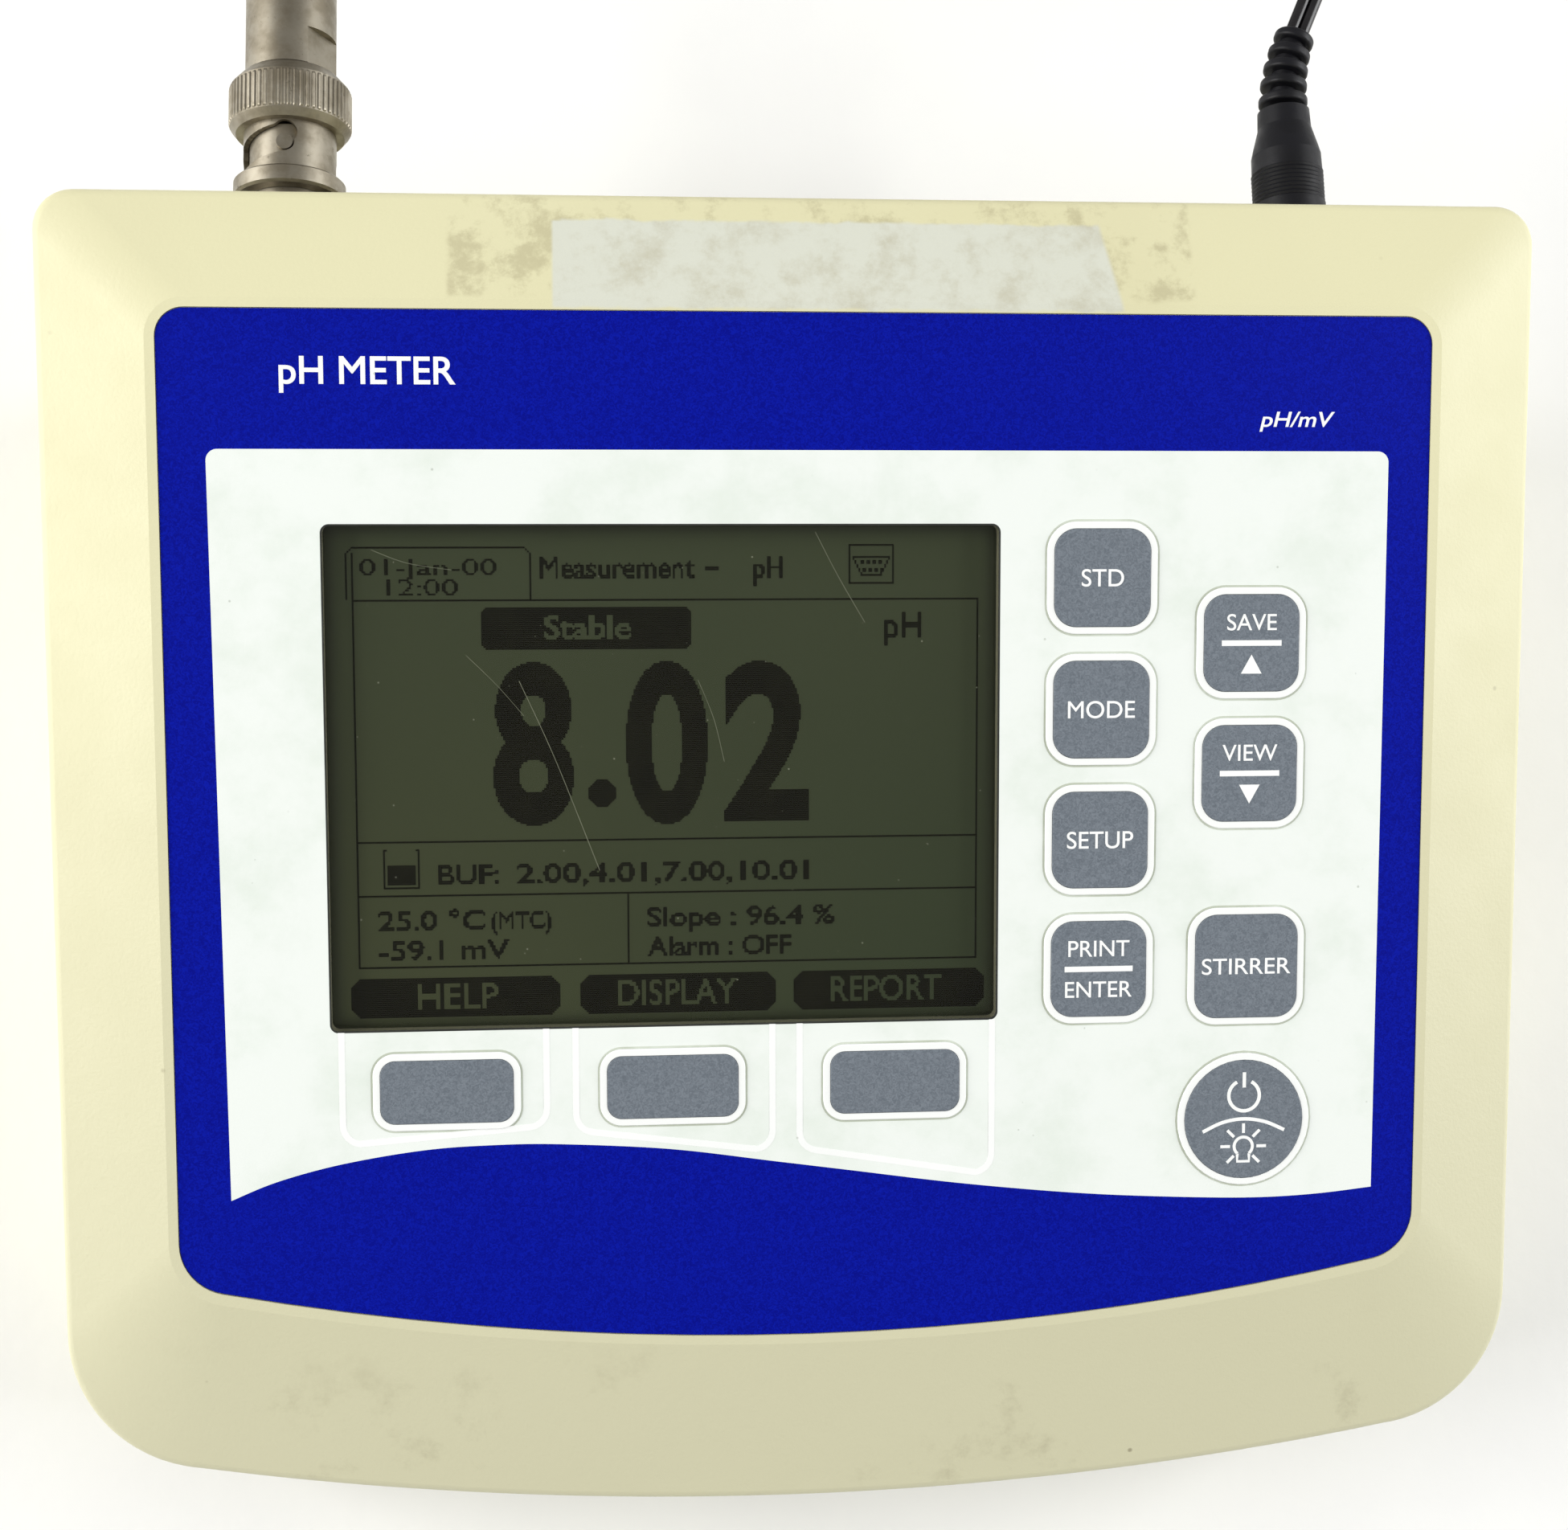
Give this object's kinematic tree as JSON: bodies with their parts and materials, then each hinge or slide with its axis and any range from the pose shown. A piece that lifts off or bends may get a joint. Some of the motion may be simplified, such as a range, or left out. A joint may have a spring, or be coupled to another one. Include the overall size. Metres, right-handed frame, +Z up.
{
  "type": "benchtop ph meter",
  "caption": "Wedge-shaped benchtop pH and millivolt meter with a dot display, embossed keys, bayonet electrode plug and plug-in power lead.",
  "frame": {"origin": "centre of the bottom of the meter's box, with its electrode plug and without its power lead", "axes": "+X to the user's right, +Y to the rear, +Z up from the bench"},
  "size_m": [0.1765, 0.2905, 0.069],
  "materials": {
    "case_plastic": "fine spark-eroded texture, slightly yellowed",
    "panel_plastic": "fine texture",
    "overlay_film": "printed polyester film, fine velvet texture",
    "key_film": "embossed printed film",
    "window_plastic": "clear hard-coated pane with fine scratches",
    "screen_glass": "grey-green reflective screen",
    "light_guide": "milky",
    "circuit_board": "solder mask",
    "chip_plastic": "moulded epoxy",
    "frame_steel": "tinned sheet",
    "screw_steel": "zinc plated",
    "nickel": "worn nickel plate",
    "contact_brass": "plated brass",
    "white_insulator": "moulded",
    "black_plastic": "moulded",
    "black_rubber": "moulded",
    "cord_jacket": "glossy extruded jacket",
    "wire_jacket": "grey insulation",
    "label_paper": "blank silvered label"
  },
  "bodies": {
    "case": {"amplifier_shield": "frame_steel", "backup_battery": "frame_steel", "bnc_insulating_washer": "black_plastic", "bnc_jack_body": "nickel", "bnc_jack_contact": "contact_brass", "bnc_jack_insulator": "white_insulator", "bnc_jack_nut": "nickel", "board_screws": "screw_steel", "case_screws": "screw_steel", "circuit_chips": "chip_plastic", "dc_jack": "black_plastic", "dc_jack_pin": "nickel", "display_window": "window_plastic", "graphic_overlay": "overlay_film", "internal_wiring": "wire_jacket", "jack_ring_nuts": "nickel", "key_board": "circuit_board", "lcd_driver_board": "circuit_board", "lcd_frame": "frame_steel", "lcd_glass": "screen_glass", "lcd_light_guide": "light_guide", "lower_case": "case_plastic", "main_board": "circuit_board", "rating_label": "label_paper", "rear_panel": "panel_plastic", "reference_jack": "contact_brass", "rubber_feet": "black_rubber", "serial_jackscrews": "screw_steel", "serial_port_contacts": "contact_brass", "serial_port_insert": "black_plastic", "serial_port_shell": "nickel", "snap_domes": "frame_steel", "socket_board": "circuit_board", "stirrer_jack": "black_plastic", "temperature_jack": "black_plastic", "upper_case": "case_plastic"},
    "key_standardise_body": {"key_standardise": "key_film"},
    "key_mode_body": {"key_mode": "key_film"},
    "key_setup_body": {"key_setup": "key_film"},
    "key_print_body": {"key_print": "key_film"},
    "key_save_body": {"key_save": "key_film"},
    "key_view_body": {"key_view": "key_film"},
    "key_stirrer_body": {"key_stirrer": "key_film"},
    "key_power_body": {"key_power": "key_film"},
    "soft_key_left_body": {"soft_key_left": "key_film"},
    "soft_key_middle_body": {"soft_key_middle": "key_film"},
    "soft_key_right_body": {"soft_key_right": "key_film"},
    "bnc_plug": {"bnc_plug_shell": "nickel", "bnc_plug_insulator": "white_insulator", "bnc_plug_pin": "contact_brass", "bnc_spring_washer": "nickel", "bnc_clamp_nut": "nickel"},
    "bnc_nut": {"bnc_coupling_nut": "nickel"},
    "power_lead": {"dc_plug_body": "black_rubber", "dc_plug_barrel": "nickel", "dc_strain_relief": "black_rubber", "power_cord": "cord_jacket", "power_cord_coil": "cord_jacket", "adapter_case": "black_plastic", "adapter_blades": "contact_brass"}
  },
  "joints": [
    {"name": "key_standardise_press", "type": "slide", "parent": "case", "child": "key_standardise_body", "axis": [0, 0.2419, -0.9703], "range_m": [0, 0.0004], "stiffness_N_per_m": 2500},
    {"name": "key_mode_press", "type": "slide", "parent": "case", "child": "key_mode_body", "axis": [0, 0.2419, -0.9703], "range_m": [0, 0.0004], "stiffness_N_per_m": 2500},
    {"name": "key_setup_press", "type": "slide", "parent": "case", "child": "key_setup_body", "axis": [0, 0.2419, -0.9703], "range_m": [0, 0.0004], "stiffness_N_per_m": 2500},
    {"name": "key_print_press", "type": "slide", "parent": "case", "child": "key_print_body", "axis": [0, 0.2419, -0.9703], "range_m": [0, 0.0004], "stiffness_N_per_m": 2500},
    {"name": "key_save_press", "type": "slide", "parent": "case", "child": "key_save_body", "axis": [0, 0.2419, -0.9703], "range_m": [0, 0.0004], "stiffness_N_per_m": 2500},
    {"name": "key_view_press", "type": "slide", "parent": "case", "child": "key_view_body", "axis": [0, 0.2419, -0.9703], "range_m": [0, 0.0004], "stiffness_N_per_m": 2500},
    {"name": "key_stirrer_press", "type": "slide", "parent": "case", "child": "key_stirrer_body", "axis": [0, 0.2419, -0.9703], "range_m": [0, 0.0004], "stiffness_N_per_m": 2500},
    {"name": "key_power_press", "type": "slide", "parent": "case", "child": "key_power_body", "axis": [0, 0.2419, -0.9703], "range_m": [0, 0.0004], "stiffness_N_per_m": 2500},
    {"name": "soft_key_left_press", "type": "slide", "parent": "case", "child": "soft_key_left_body", "axis": [0, 0.2419, -0.9703], "range_m": [0, 0.0004], "stiffness_N_per_m": 2500},
    {"name": "soft_key_middle_press", "type": "slide", "parent": "case", "child": "soft_key_middle_body", "axis": [0, 0.2419, -0.9703], "range_m": [0, 0.0004], "stiffness_N_per_m": 2500},
    {"name": "soft_key_right_press", "type": "slide", "parent": "case", "child": "soft_key_right_body", "axis": [0, 0.2419, -0.9703], "range_m": [0, 0.0004], "stiffness_N_per_m": 2500},
    {"name": "bnc_plug_slide", "type": "slide", "parent": "case", "child": "bnc_plug", "axis": [0, 1, 0], "range_m": [0, 0.0016]},
    {"name": "bnc_nut_turn", "type": "hinge", "parent": "bnc_plug", "child": "bnc_nut", "pos_m": [-0.061, 0.07054, 0.0495], "axis": [0, 1, 0], "range_deg": [0, 80]},
    {"name": "power_plug_pull", "type": "slide", "parent": "case", "child": "power_lead", "axis": [0, 1, 0], "range_m": [0, 0.0095]}
  ],
  "couplings": [
    {"joint": "bnc_nut_turn", "follows": "bnc_plug_slide", "rad_per_m": 872.66}
  ]
}
